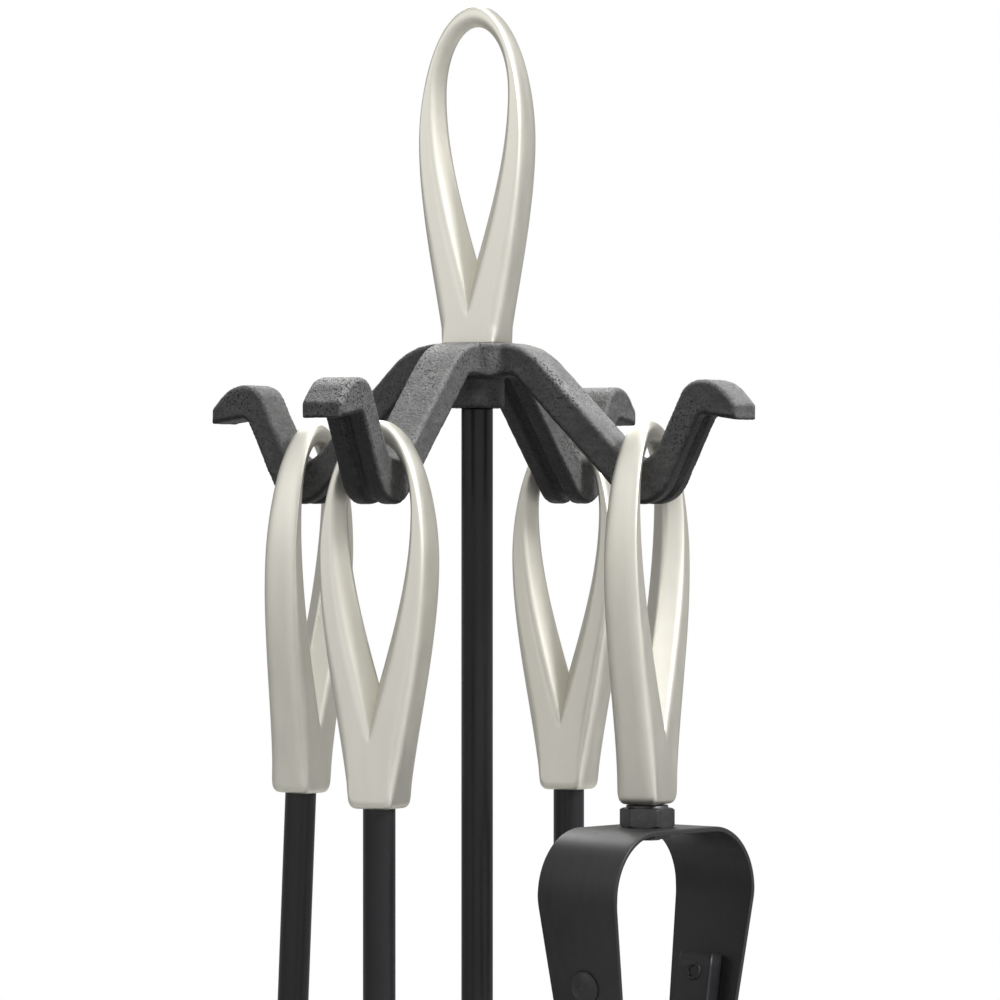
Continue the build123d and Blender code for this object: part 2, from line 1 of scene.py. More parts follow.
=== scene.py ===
import bmesh
import bpy
import numpy as np
from math import cos, pi, radians, sin, tan
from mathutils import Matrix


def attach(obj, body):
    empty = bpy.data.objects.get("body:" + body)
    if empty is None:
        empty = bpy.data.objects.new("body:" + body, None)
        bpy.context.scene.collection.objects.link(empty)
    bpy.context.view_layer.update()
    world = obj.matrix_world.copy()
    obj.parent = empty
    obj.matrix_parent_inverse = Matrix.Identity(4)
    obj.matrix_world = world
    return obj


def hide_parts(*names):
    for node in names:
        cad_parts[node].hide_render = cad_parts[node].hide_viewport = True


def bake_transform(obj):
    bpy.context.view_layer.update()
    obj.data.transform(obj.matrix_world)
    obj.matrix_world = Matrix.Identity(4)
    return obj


# Fireplace tool set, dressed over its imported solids. Shapes are worked out in millimetres in the
# stand's frame (+Z up, origin on the floor under the pole) and put into the meshes in metres.

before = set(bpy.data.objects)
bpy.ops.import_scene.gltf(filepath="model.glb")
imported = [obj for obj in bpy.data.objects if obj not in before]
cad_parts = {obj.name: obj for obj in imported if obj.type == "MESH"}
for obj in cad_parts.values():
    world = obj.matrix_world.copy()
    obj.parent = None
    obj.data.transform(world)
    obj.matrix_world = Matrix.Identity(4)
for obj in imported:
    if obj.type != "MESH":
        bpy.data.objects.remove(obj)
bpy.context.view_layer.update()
MM = 0.001

# Sizes and places repeated from the part's source
BASE_RADIUS, BASE_BOTTOM, BASE_RIM, BASE_SEAT = 115.0, 3.0, 10.0, 15.0
PAD_RADIUS, PAD_CIRCLE, PAD_COUNT = 9.0, 95.0, 4
POLE_BOTTOM, POLE_TOP, HUB_TOP = 17.0, 558.0, 583.7
HANG_RADIUS, HANG_HEIGHT, TAIL_HEIGHT = 77.1578, 536.6843, 401.0282
SIDES = {"tongs": 0.0, "brush": 90.0, "shovel": 180.0, "poker": 270.0}
LEANS = {"shovel": 2.5}
TUBE_RADIUS, ROD_SOCKET = 6.35, 15.0
ROD_LENGTHS = {"brush": 232.0, "shovel": 190.0, "poker": 235.0}
HANDLE_LENGTH, HANDLE_HALF, HANDLE_WIDEST = 151.0, 23.7, 97.0
TAIL_HALF, TAIL_DEPTH, TAIL_RISE, CROWN_DEPTH = 9.45, 17.4, 0.15, 8.6
LOOP_HALF, LOOP_WIDEST, LOOP_NOTCH, LOOP_TOP = 14.2, 116.0, 49.0, 141.8
NOTCH_ANGLE, RIM_GROWTH, RIM_NOTCH, TOP_CUT = radians(17.5), 4.9, 27.3, 15.0
BOW_TOP, BOW_WIDTH, BOW_END_WIDTH, BOW_THICK, BOW_FLAT = -9.0, 39.0, 31.0, 2.0, 18.75
BOW_SHOULDER, BOW_LEAN, BOW_LENGTH, TONGS_TWIST = 26.0, radians(10.0), 92.0, radians(-10.7)
LEG_THICK, LEG_WIDTH, LEG_TOP, LEG_BEND = 7.5, 16.5, 54.0, 105.0
FOOT_DROP, FOOT_SPREAD, TOE_IN, TOE_DROP, LEG_ROUNDS = 327.0, radians(4.0), 13.0, 26.0, (40.0, 12.0)
RIVET_DROPS, RIVET_HEAD, RIVET_RISE, NUT_BORE = (7.5, 31.5), 13.5, 2.6, 5.0
FERRULE_HEIGHT, FERRULE_RADIUS, BLOCK_RADIUS, BLOCK_HEIGHT = 14.0, 12.0, 23.0, 24.0
TUFT_ROOT, TUFT_END, TUFT_LENGTH = 19.5, 28.6, 78.0
SHOVEL_NECK, PAN_OFFSET, STRAP_THICK, STRAP_WIDTH = 16.0, 19.0, 4.5, 17.0
STRAP_START, STRAP_LAP, STRAP_ROUNDS = 9.0, 58.0, (8.0, 8.0)
PAN_TOP, PAN_BACK, PAN_WALL, PAN_LENGTH, PAN_ROUND = -228.0, -21.25, 1.6, 124.0, 11.0
PAN_HALF, PAN_FLARE, PAN_DEPTH, PAN_SHALLOWER = 33.0, 13.0, 26.0, 12.0
STUD_HEAD, STUD_RISE, STUD_DROPS = 9.5, 2.2, (12.0, 36.0)
POINT_LENGTH, POINT_TIP = 96.0, 2.5
BARB_ROOT, BARB_CORNER, BARB_END, BARB_REACH, BARB_ROUND, BARB_RADIUS = 23.0, 41.5, 19.0, 27.0, 11.0, 4.25

# Choices of the dressed part
SIDE_ROUND, RIM_ROUND, RIDGE_ROUND = 4.6, 2.7, 2.0
NOTCH_BLEND, NOTCH_LEAD = 7.0, 2.4
FIBRES = 1500
rng = np.random.default_rng(7)


# Shapes as arrays


def turned(points, angle):
    """Points turned about Z: (x cos a - y sin a, x sin a + y cos a, z)."""
    c, s = cos(angle), sin(angle)
    x, y, z = np.moveaxis(points, -1, 0)
    return np.stack([x * c - y * s, x * s + y * c, z], -1)


def hung(points, tool):
    """A tool's own points (x out from the pole, z up from the handle's tail) put on its hook.

    They swing by the lean about the hook's valley, (x cos l - z sin l, x sin l + z cos l) below and
    above it, then move out to the valley and turn to the arm's side."""
    lean = radians(LEANS.get(tool, 0.0))
    rise = HANG_HEIGHT - TAIL_HEIGHT
    x, y, z = np.moveaxis(points, -1, 0)
    z = z - rise
    out, up = x * cos(lean) - z * sin(lean), x * sin(lean) + z * cos(lean)
    return turned(np.stack([out + HANG_RADIUS, y, up + HANG_HEIGHT], -1), radians(SIDES[tool]))


def rounded(corners, reach, steps=6):
    """Polygons with each corner replaced by a parabola from reach before it to reach after it.

    B(t) = (1-t)^2 S + 2t(1-t) C + t^2 E, with one more point beyond each end to hold the flats."""
    def toward(other, share, most):
        way = other - corners
        size = np.linalg.norm(way, axis=-1, keepdims=True)
        step = np.minimum(np.asarray(reach)[..., None] * share, most * size)
        return corners + way * step / np.maximum(size, 1e-9)
    before, after = np.roll(corners, 1, axis=-2), np.roll(corners, -1, axis=-2)
    start, end = toward(before, 1, 0.42)[..., None, :], toward(after, 1, 0.42)[..., None, :]
    t = np.linspace(0, 1, steps)[:, None]
    arc = (1 - t) ** 2 * start + 2 * t * (1 - t) * corners[..., None, :] + t ** 2 * end
    outer = toward(before, 1.2, 0.48)[..., None, :], toward(after, 1.2, 0.48)[..., None, :]
    arc = np.concatenate([outer[0], arc, outer[1]], axis=-2)
    return arc.reshape(*corners.shape[:-2], -1, corners.shape[-1])


def route(points, radii, step=2.0):
    """A plane path of straight runs with circular arcs at its corners, as points about a step apart."""
    points = np.asarray(points, float)
    path = [points[:1]]
    for before, corner, after, radius in zip(points, points[1:], points[2:], radii):
        a, b = before - corner, after - corner
        a, b = a / np.linalg.norm(a), b / np.linalg.norm(b)
        half = np.arccos(np.clip(a @ b, -1, 1)) / 2
        middle = corner + (a + b) / np.linalg.norm(a + b) * radius / sin(half)
        first, last = corner + a * radius / tan(half) - middle, corner + b * radius / tan(half) - middle
        sweep = pi - 2 * half
        turn = np.linspace(0, 1, max(4, int(radius * sweep / step) + 1))[:, None]
        arc = (np.sin((1 - turn) * sweep) * first + np.sin(turn * sweep) * last) / sin(sweep)
        path.append(middle + arc)
    path.append(points[-1:])
    corners = np.vstack(path)
    # Long runs get points of their own, so that a blend or a bend has something to move
    lengths = np.concatenate([[0], np.cumsum(np.linalg.norm(np.diff(corners, axis=0), axis=1))])
    along = np.union1d(lengths, np.arange(0, lengths[-1], 4 * step))
    along = along[np.append(np.diff(along) > step / 4, True)]
    return np.stack([np.interp(along, lengths, corners[:, k]) for k in range(2)], -1)


def normals_of(path):
    """Left-hand unit normals of a plane path, (-dy, dx) of its running direction."""
    way = np.gradient(path, axis=0)
    way /= np.linalg.norm(way, axis=1, keepdims=True)
    return np.stack([-way[:, 1], way[:, 0]], -1)


def skin(grid, wrap_u=False, wrap_v=True, cap=True):
    """A closed shell over a grid of points: each point joins the next along both parameters.

    The grid wraps where asked, open ends close on a point at their middle, and the shell turns
    outwards: its volume, the sum of p0 . (p1 x p2) / 6 over its triangles, comes out positive."""
    count_u, count_v = grid.shape[:2]
    index = np.arange(count_u * count_v).reshape(count_u, count_v)
    net = np.vstack([index, index[:1]]) if wrap_u else index
    net = np.hstack([net, net[:, :1]]) if wrap_v else net
    quads = np.stack([net[:-1, :-1], net[1:, :-1], net[1:, 1:], net[:-1, 1:]], -1).reshape(-1, 4)
    triangles = np.zeros((0, 3), int)
    points = grid.reshape(-1, 3)
    if cap and not wrap_u:
        middles = np.stack([grid[0].mean(0), grid[-1].mean(0)])
        first, last = len(points), len(points) + 1
        points = np.vstack([points, middles])
        near, far = net[0], net[-1]
        fan = np.full(len(near) - 1, first)
        triangles = np.vstack([np.stack([near[:-1], near[1:], fan], -1),
                               np.stack([far[1:], far[:-1], fan * 0 + last], -1)])
    both = np.vstack([quads[:, [0, 1, 2]], quads[:, [0, 2, 3]], triangles])
    p = points - points.mean(0)
    volume = np.einsum("ij,ij->i", p[both[:, 0]], np.cross(p[both[:, 1]], p[both[:, 2]])).sum()
    if volume < 0:
        quads, triangles = quads[:, ::-1], triangles[:, ::-1]
    return points, quads, triangles


def spun(profile, steps=96):
    """A shell of revolution about Z: (r cos a, r sin a, z) for a profile of (r, z) points."""
    angle = np.linspace(0, 2 * pi, steps, endpoint=False)
    r, z = np.asarray(profile, float)[:, :1], np.asarray(profile, float)[:, 1:]
    return np.stack([r * np.cos(angle), r * np.sin(angle), z + 0 * angle], -1)


def softened(profile, reach, steps=5):
    """An open (r, z) profile whose inner corners are parabolas, its two ends kept."""
    profile = np.asarray(profile, float)
    arcs = rounded(profile, np.broadcast_to(reach, (len(profile),)), steps).reshape(len(profile), -1, 2)
    return np.vstack([profile[:1], arcs[1:-1].reshape(-1, 2), profile[-1:]])


def strip(path, thick, width, reach, shift=0.0):
    """A flat bar carried along a path in YZ: its section spans width, which may change along the path,
    in X and goes from shift to shift + thick on the path's left."""
    normal = normals_of(path)
    half = np.broadcast_to(width, (len(path),)) / 2
    corners = []
    for x, inward in ((-1, 0), (1, 0), (1, 1), (-1, 1)):
        side = path + normal * (shift + inward * thick)
        corners.append(np.column_stack([x * half, side]))
    return rounded(np.stack(corners, 1), np.full(4, reach))


def tubed(path, radius, steps=24):
    """A round bar carried along a path in YZ: centre + r (cos a X + sin a N), r given along the path."""
    normal = np.column_stack([np.zeros(len(path)), normals_of(path)])
    centre = np.column_stack([np.zeros(len(path)), path])
    angle = np.linspace(0, 2 * pi, steps, endpoint=False)[:, None]
    across = np.array([1.0, 0, 0])
    ring = np.cos(angle) * across + np.sin(angle) * normal[:, None, :]
    return centre[:, None, :] + ring * np.broadcast_to(radius, (len(path),))[:, None, None]


def piece(name, shells, finish, body, *nodes, merge=False):
    """One object from closed shells, at the origin, riding on a body in place of its CAD nodes.

    Points that lie on each other become one where merge is asked."""
    points, faces, start = [], [], 0
    for shell_points, quads, triangles in shells:
        points.append(shell_points)
        faces += (quads + start).tolist() + (triangles + start).tolist()
        start += len(shell_points)
    mesh = bpy.data.meshes.new(name)
    mesh.from_pydata((np.vstack(points) * MM).tolist(), [], faces)
    if merge:
        work = bmesh.new()
        work.from_mesh(mesh)
        bmesh.ops.remove_doubles(work, verts=work.verts, dist=1e-6)
        work.to_mesh(mesh)
        work.free()
    placed(name, mesh, finish, body, *nodes)


def placed(name, mesh, finish, body, *nodes):
    """A mesh as an object that rides on one body, or stays put riding on neither when given two bodies and
    their points, in place of its CAD nodes.
    """
    mesh.polygons.foreach_set("use_smooth", np.ones(len(mesh.polygons), bool))
    mesh.materials.append(finish)
    mesh.update()
    obj = bpy.data.objects.new(name, mesh)
    bpy.context.collection.objects.link(obj)
    if isinstance(body, str):
        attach(obj, body)
    else:
        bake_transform(obj)
    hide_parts(*nodes)


# Finishes


def node(tree, kind, values=None, **settings):
    """A shader node with its settings and the values of its inputs."""
    made = tree.nodes.new(kind)
    for key, value in settings.items():
        setattr(made, key, value)
    for key, value in (values or {}).items():
        made.inputs[key].default_value = value
    return made


def group(name, inputs, outputs):
    """A node group's tree with its sockets, and the nodes that stand for its inputs and outputs."""
    tree = bpy.data.node_groups.new(name, "ShaderNodeTree")
    for label, kind, value in inputs:
        socket = tree.interface.new_socket(label, in_out="INPUT", socket_type=kind)
        if value is not None:
            socket.default_value = value
    for label, kind in outputs:
        tree.interface.new_socket(label, in_out="OUTPUT", socket_type=kind)
    return tree, tree.nodes.new("NodeGroupInput"), tree.nodes.new("NodeGroupOutput")


def tone_group():
    """Slow and quick noise, mixed, as a value about 0 to 1 that breaks up a finish."""
    tree, source, sink = group("broken_tone", [
        ("Place", "NodeSocketVector", None), ("Slow", "NodeSocketFloat", 20.0),
        ("Quick", "NodeSocketFloat", 200.0)], [("Tone", "NodeSocketFloat")])
    slow = node(tree, "ShaderNodeTexNoise", {"Detail": 3.0, "Roughness": 0.55})
    quick = node(tree, "ShaderNodeTexNoise", {"Detail": 4.0, "Roughness": 0.6})
    mix = node(tree, "ShaderNodeMix", {"Factor": 0.45})
    spread = node(tree, "ShaderNodeMapRange", {"From Min": 0.33, "From Max": 0.67})
    for noise, label in ((slow, "Slow"), (quick, "Quick")):
        tree.links.new(source.outputs["Place"], noise.inputs["Vector"])
        tree.links.new(source.outputs[label], noise.inputs["Scale"])
    tree.links.new(slow.outputs["Fac"], mix.inputs["A"])
    tree.links.new(quick.outputs["Fac"], mix.inputs["B"])
    tree.links.new(mix.outputs["Result"], spread.inputs["Value"])
    tree.links.new(spread.outputs["Result"], sink.inputs["Tone"])
    return tree


def cast_group():
    """Sand-cast skin: a height of fine grains with pits sunk into it, and the pits as a mask.

    Pits are where a quick noise falls under a level that a slow noise raises and lowers."""
    tree, source, sink = group("cast_skin", [
        ("Place", "NodeSocketVector", None), ("Grain", "NodeSocketFloat", 900.0),
        ("Pits", "NodeSocketFloat", 1100.0), ("Pit level", "NodeSocketFloat", 0.17)],
        [("Height", "NodeSocketFloat"), ("Pit", "NodeSocketFloat")])
    grain = node(tree, "ShaderNodeTexNoise", {"Detail": 3.0, "Roughness": 0.6})
    blots = node(tree, "ShaderNodeTexNoise", {"Detail": 2.0, "Roughness": 0.5})
    where = node(tree, "ShaderNodeTexNoise", {"Scale": 60.0, "Detail": 1.0})
    level = node(tree, "ShaderNodeMath", {1: 0.35}, operation="MULTIPLY_ADD")
    edge = node(tree, "ShaderNodeMath", operation="SUBTRACT")
    pit = node(tree, "ShaderNodeMapRange", {"From Min": -0.02, "From Max": 0.08})
    sunk = node(tree, "ShaderNodeMath", {1: 1.6}, operation="MULTIPLY")
    height = node(tree, "ShaderNodeMath", operation="SUBTRACT")
    for texture, label in ((grain, "Grain"), (blots, "Pits")):
        tree.links.new(source.outputs["Place"], texture.inputs["Vector"])
        tree.links.new(source.outputs[label], texture.inputs["Scale"])
    tree.links.new(source.outputs["Place"], where.inputs["Vector"])
    tree.links.new(where.outputs["Fac"], level.inputs[0])
    tree.links.new(source.outputs["Pit level"], level.inputs[2])
    tree.links.new(level.outputs[0], edge.inputs[0])
    tree.links.new(blots.outputs["Fac"], edge.inputs[1])
    tree.links.new(edge.outputs[0], pit.inputs["Value"])
    tree.links.new(pit.outputs["Result"], sunk.inputs[0])
    tree.links.new(grain.outputs["Fac"], height.inputs[0])
    tree.links.new(sunk.outputs[0], height.inputs[1])
    tree.links.new(height.outputs[0], sink.inputs["Height"])
    tree.links.new(pit.outputs["Result"], sink.inputs["Pit"])
    return tree


TONE, CAST = tone_group(), cast_group()


class Finish:
    """A material whose colour and roughness run between two values by a broken tone."""

    def __init__(self, name, dark, light, rough, slow=25.0, quick=220.0, stretch=(1, 1, 1), **sockets):
        self.made = bpy.data.materials.new(name)
        self.made.use_nodes = True
        self.tree = self.made.node_tree
        self.shader = self.tree.nodes["Principled BSDF"]
        for key, value in sockets.items():
            self.shader.inputs[key.replace("_", " ")].default_value = value
        self.place = node(self.tree, "ShaderNodeMapping", {"Scale": stretch})
        where = node(self.tree, "ShaderNodeTexCoord")
        self.join(where, "Object", self.place, "Vector")
        self.tone = node(self.tree, "ShaderNodeGroup", node_tree=TONE)
        self.join(self.place, "Vector", self.tone, "Place")
        self.tone.inputs["Slow"].default_value = slow
        self.tone.inputs["Quick"].default_value = quick
        self.colour = node(self.tree, "ShaderNodeMix", data_type="RGBA")
        self.colour.inputs[6].default_value = (*dark, 1)
        self.colour.inputs[7].default_value = (*light, 1)
        self.join(self.tone, "Tone", self.colour, 0)
        self.tree.links.new(self.colour.outputs[2], self.shader.inputs["Base Color"])
        self.rough = node(self.tree, "ShaderNodeMapRange", {"To Min": rough[0], "To Max": rough[1]})
        self.join(self.tone, "Tone", self.rough, "Value")
        self.join(self.rough, "Result", self.shader, "Roughness")

    def join(self, a, output, b, socket):
        self.tree.links.new(a.outputs[output], b.inputs[socket])

    def bump(self, source, output, strength, depth):
        """A bump laid over the ones before it."""
        bump = node(self.tree, "ShaderNodeBump", {"Strength": strength, "Distance": depth})
        self.join(source, output, bump, "Height")
        last = self.shader.inputs["Normal"].links
        if last:
            self.tree.links.new(last[0].from_socket, bump.inputs["Normal"])
        self.join(bump, "Normal", self.shader, "Normal")

    def noise_bump(self, scale, strength, depth, stretch=(1, 1, 1)):
        """A bump of noise, drawn out along the axes whose stretch is under 1."""
        place = node(self.tree, "ShaderNodeMapping", {"Scale": stretch})
        where = node(self.tree, "ShaderNodeTexCoord")
        grain = node(self.tree, "ShaderNodeTexNoise", {"Scale": scale, "Detail": 3.0})
        self.join(where, "Object", place, "Vector")
        self.join(place, "Vector", grain, "Vector")
        self.bump(grain, "Fac", strength, depth)


def cast_iron():
    """Black-painted sand casting: grains and dark pits stand in the paint; the pits and what faces down are
    darkened as painted shade.
    """
    made = Finish("cast_iron_paint", (0.145, 0.146, 0.148), (0.41, 0.41, 0.405), (0.4, 0.6),
                  slow=60, quick=900, Specular_IOR_Level=0.2)
    skin_node = node(made.tree, "ShaderNodeGroup", node_tree=CAST)
    made.join(made.place, "Vector", skin_node, "Place")
    made.bump(skin_node, "Height", 1.0, 0.0006)
    # Painted shade: faces that turn downwards are mixed up to 0.95 of the way towards near black, as shade
    # under the casting
    facing = node(made.tree, "ShaderNodeNewGeometry")
    upward = node(made.tree, "ShaderNodeSeparateXYZ")
    painted_shade_under = node(made.tree, "ShaderNodeMapRange",
                 {"From Min": -0.35, "From Max": 0.6, "To Min": 0.95, "To Max": 0.0})
    made.join(facing, "Normal", upward, "Vector")
    made.join(upward, "Z", painted_shade_under, "Value")
    below = node(made.tree, "ShaderNodeMix", data_type="RGBA")
    below.inputs[7].default_value = (0.012, 0.012, 0.014, 1)
    made.join(painted_shade_under, "Result", below, 0)
    made.tree.links.new(made.colour.outputs[2], below.inputs[6])
    # Painted shade in the sunk pits: the pit mask mixes the colour towards near black
    pit_painted_shade = node(made.tree, "ShaderNodeMix", data_type="RGBA")
    pit_painted_shade.inputs[7].default_value = (0.035, 0.035, 0.036, 1)
    made.join(skin_node, "Pit", pit_painted_shade, 0)
    made.tree.links.new(below.outputs[2], pit_painted_shade.inputs[6])
    made.tree.links.new(pit_painted_shade.outputs[2], made.shader.inputs["Base Color"])
    return made.made


def pewter():
    """Satin pewter plate: warm light grey metal, faintly streaked along the casting."""
    made = Finish("satin_pewter", (0.61, 0.595, 0.53), (0.68, 0.665, 0.60), (0.41, 0.51),
                  slow=18, quick=160, stretch=(1, 1, 0.3), Metallic=1.0)
    made.noise_bump(700, 0.05, 0.0002, (1, 1, 0.12))
    return made.made


def rod_paint():
    """Satin black powder coat on drawn tube, with a fine orange-peel and faint draw lines."""
    made = Finish("rod_paint", (0.014, 0.014, 0.016), (0.024, 0.024, 0.027), (0.28, 0.38),
                  slow=12, quick=150, stretch=(1, 1, 0.25), Specular_IOR_Level=0.25)
    made.noise_bump(1500, 0.08, 0.0001)
    return made.made


def spring_steel():
    """Black oxide on rolled spring strip: near black, satin, with faint rolling streaks."""
    made = Finish("spring_steel", (0.012, 0.012, 0.014), (0.026, 0.026, 0.029), (0.36, 0.5),
                  slow=30, quick=260, stretch=(1, 0.3, 0.3), Specular_IOR_Level=0.45)
    made.noise_bump(900, 0.1, 0.0001, (0.15, 1, 1))
    return made.made


def nut_steel():
    """Dark zinc on fasteners: grey metal with blotches."""
    made = Finish("dark_zinc", (0.04, 0.04, 0.042), (0.09, 0.09, 0.093), (0.34, 0.5),
                  slow=90, quick=700, Metallic=0.6)
    made.noise_bump(1800, 0.08, 0.0001)
    return made.made


def plain_zinc():
    """Bright zinc on the fasteners that hardly show."""
    return Finish("bright_zinc", (0.42, 0.42, 0.43), (0.58, 0.58, 0.57), (0.3, 0.45),
                  slow=90, quick=700, Metallic=1.0).made


def pad_rubber():
    """Matte black rubber, slightly grainy."""
    made = Finish("pad_rubber", (0.018, 0.018, 0.018), (0.03, 0.03, 0.03), (0.75, 0.9), slow=60, quick=500)
    made.noise_bump(1200, 0.2, 0.0002)
    return made.made


def block_lacquer():
    """Black lacquer over turned wood, the grain just showing as drawn-out streaks."""
    made = Finish("block_lacquer", (0.012, 0.011, 0.010), (0.028, 0.025, 0.022), (0.25, 0.4),
                  slow=40, quick=400, stretch=(1, 1, 0.15))
    made.noise_bump(500, 0.15, 0.0002, (1, 1, 0.1))
    return made.made


def fibre():
    """Stiff black fibre, some of it browner."""
    return Finish("bristle_fibre", (0.012, 0.011, 0.010), (0.05, 0.045, 0.038), (0.45, 0.65),
                  slow=120, quick=900).made


IRON, PEWTER, PAINT, SPRING = cast_iron(), pewter(), rod_paint(), spring_steel()
NUT, ZINC, RUBBER, LACQUER, FIBRE = nut_steel(), plain_zinc(), pad_rubber(), block_lacquer(), fibre()


# Handles


def teardrop_edge(run, half, widest, top, tail, tail_half, rise):
    """Right edge of a teardrop as (y, z).

    Run 0 to 1 climbs a cubic from the tail to the widest height, run 1 to 2 goes over the top on a
    quarter ellipse."""
    t, a = np.clip(run, 0, 1), np.clip(run - 1, 0, 1) * pi / 2
    reach = (widest - tail) / 3
    y = ((1 - t) ** 3 * tail_half + 3 * (1 - t) ** 2 * t * (tail_half + reach * rise)
         + 3 * (1 - t) * t ** 2 * half + t ** 3 * half)
    z = tail + (widest - tail) * t
    over = run > 1
    return np.where(over, half * np.cos(a), y), np.where(over, widest + (top - widest) * np.sin(a), z)


def half_depth(z):
    """Half the handle's depth at a height: a Bezier cubic from the deep tail to the thin crown.

    Its two controls have lost 0.12 and 0.23 of the taper, at 0.39 and 0.79 of the length."""
    t = np.linspace(0, 1, 200)
    tail, crown = TAIL_DEPTH / 2, CROWN_DEPTH / 2
    low, high = tail - (tail - crown) * 0.12, tail - (tail - crown) * 0.23
    d = (1 - t) ** 3 * tail + 3 * (1 - t) ** 2 * t * low + 3 * (1 - t) * t ** 2 * high + t ** 3 * crown
    h = HANDLE_LENGTH * (3 * (1 - t) ** 2 * t * 0.39 + 3 * (1 - t) * t ** 2 * 0.79 + t ** 3)
    return np.interp(z, h, d)


def handle(cut=0.0, corner=3.0, under=3.0):
    """A ring of sections round the finger loop, from the loop's edge to the teardrop's edge.

    Each section is a rounded polygon through the loop's middle ridge, its flared rims, the faces and
    the outer edges; below the notch the sections fan out from it over the solid tail. The tail ends at
    the height cut, and its end turns into its sides within the reach corner. The outer edges are rounded
    by the reach under along the tail's end and by SIDE_ROUND up the sides."""
    outline = HANDLE_HALF, HANDLE_WIDEST, HANDLE_LENGTH, 0, TAIL_HALF, TAIL_RISE
    low = cut / HANDLE_WIDEST
    tail_y = teardrop_edge(np.array(low), *outline)[0]
    climb = np.linspace(low + corner / HANDLE_WIDEST, 1, 90)
    over = np.linspace(1, 2, 50)[1:]
    side_y, side_z = teardrop_edge(np.concatenate([climb, over]), *outline)
    t = np.linspace(0, 1, 6)[1:-1]
    bend_y = (1 - t) ** 2 * (tail_y - corner) + 2 * t * (1 - t) * tail_y + t ** 2 * side_y[0]
    bend_z = cut + t ** 2 * corner
    base_y = np.linspace(0, tail_y - corner, 9)
    y = np.concatenate([base_y, bend_y, side_y])
    z = np.concatenate([base_y * 0 + cut, bend_z, side_z])
    # The loop's edge keeps to the notch while the outer edge is below it, then climbs beside it:
    # b ln(1 + e^(h / b)) of the height h over the notch
    height = np.concatenate([bend_z, side_z[:len(climb)]]) - RIM_NOTCH + NOTCH_LEAD
    soft = NOTCH_BLEND * np.log1p(np.exp(height / NOTCH_BLEND))
    inner = np.concatenate([np.linspace(0, soft[0], len(base_y) + 1)[:-1], soft]) / soft[-1]
    inner = np.concatenate([inner, over])
    slope = tan(NOTCH_ANGLE)
    loop_y, loop_z = teardrop_edge(inner, LOOP_HALF, LOOP_WIDEST, LOOP_TOP, LOOP_NOTCH, 0, slope)
    edge_y, edge_z = teardrop_edge(inner, LOOP_HALF + RIM_GROWTH, LOOP_WIDEST, LOOP_TOP + RIM_GROWTH,
                                   RIM_NOTCH, 0, slope)
    # Where the flared wall, which would reach that edge at the tail's depth, meets the face
    share = half_depth(edge_z) / (TAIL_DEPTH / 2)
    for turn in range(3):
        share = half_depth(loop_z + (edge_z - loop_z) * share) / (TAIL_DEPTH / 2)
    rim_y, rim_z = loop_y + (edge_y - loop_y) * share, loop_z + (edge_z - loop_z) * share
    rim = share * TAIL_DEPTH / 2
    corners = [np.stack([0 * y, loop_y, loop_z], -1)]
    faces = [np.stack([rim, rim_y, rim_z], -1)]
    faces.append(np.stack([half_depth(z), y, z], -1))
    corners += faces + [face * [-1, 1, 1] for face in faces[::-1]]
    side_start = len(base_y) + len(bend_y) + 6
    edge = np.interp(np.arange(len(y)), [len(base_y) - 1, side_start], [under, SIDE_ROUND])
    ridge, rims = np.full(len(y), RIDGE_ROUND), np.full(len(y), RIM_ROUND)
    reach = np.stack([ridge, rims, edge, edge, rims], -1)
    right = rounded(np.stack(corners, 1), reach)
    left = right[-2:0:-1] * [1, -1, 1]
    return skin(np.concatenate([right, left]), wrap_u=True)


def put(shell, move):
    """A shell with its points moved and its faces kept."""
    return (move(shell[0]), *shell[1:])


tool_handle = handle()
for tool in SIDES:
    shell = put(tool_handle, lambda p, tool=tool: hung(p, tool))
    piece(tool + "_loop_handle", [shell], PEWTER, tool, tool + "_handle")
top = put(handle(TOP_CUT, corner=0.7, under=0.6), lambda p: turned(p, pi / 2) + [0, 0, HUB_TOP - TOP_CUT])
piece("carrying_handle", [top], PEWTER, "stand", "top_handle")


# Pole and rods


def rod(bottom, top, soft=0.7):
    """A straight tube with softly broken edges at its ends."""
    return spun(softened([(0, bottom), (TUBE_RADIUS, bottom), (TUBE_RADIUS, top), (0, top)], soft))[1:-1]


piece("pole", [skin(rod(POLE_BOTTOM, POLE_TOP))], PAINT, "stand", "pole_tube")
for tool, length in ROD_LENGTHS.items():
    piece(tool + "_shaft", [skin(hung(rod(-length, ROD_SOCKET), tool))], PAINT, tool, tool + "_rod")


# Tongs


def limb(down, inward=0.0):
    """A point (y, z) the given way below the bow's corner along the leaning limb, moved inward."""
    corner = BOW_FLAT + BOW_SHOULDER * tan(pi / 4 + BOW_LEAN / 2)
    return (corner - down * sin(BOW_LEAN) - inward * cos(BOW_LEAN),
            BOW_TOP - down * cos(BOW_LEAN) + inward * sin(BOW_LEAN))


def tongs_points(points, side):
    """The +Y half of the tongs, or its half-turned twin, twisted and put on the hook."""
    return hung(turned(points, TONGS_TWIST + (0 if side > 0 else pi)), "tongs")


bow_path = route([(0, BOW_TOP), (limb(0)[0], BOW_TOP), limb(BOW_LENGTH)], [BOW_SHOULDER], 1.2)
shoulder, limb_end = BOW_TOP - BOW_SHOULDER, limb(BOW_LENGTH)[1] - BOW_THICK
bow_width = np.interp(-bow_path[:, 1], [-shoulder, -limb_end], [BOW_WIDTH, BOW_END_WIDTH])
bow_half = strip(bow_path, -BOW_THICK, bow_width, 0.8)
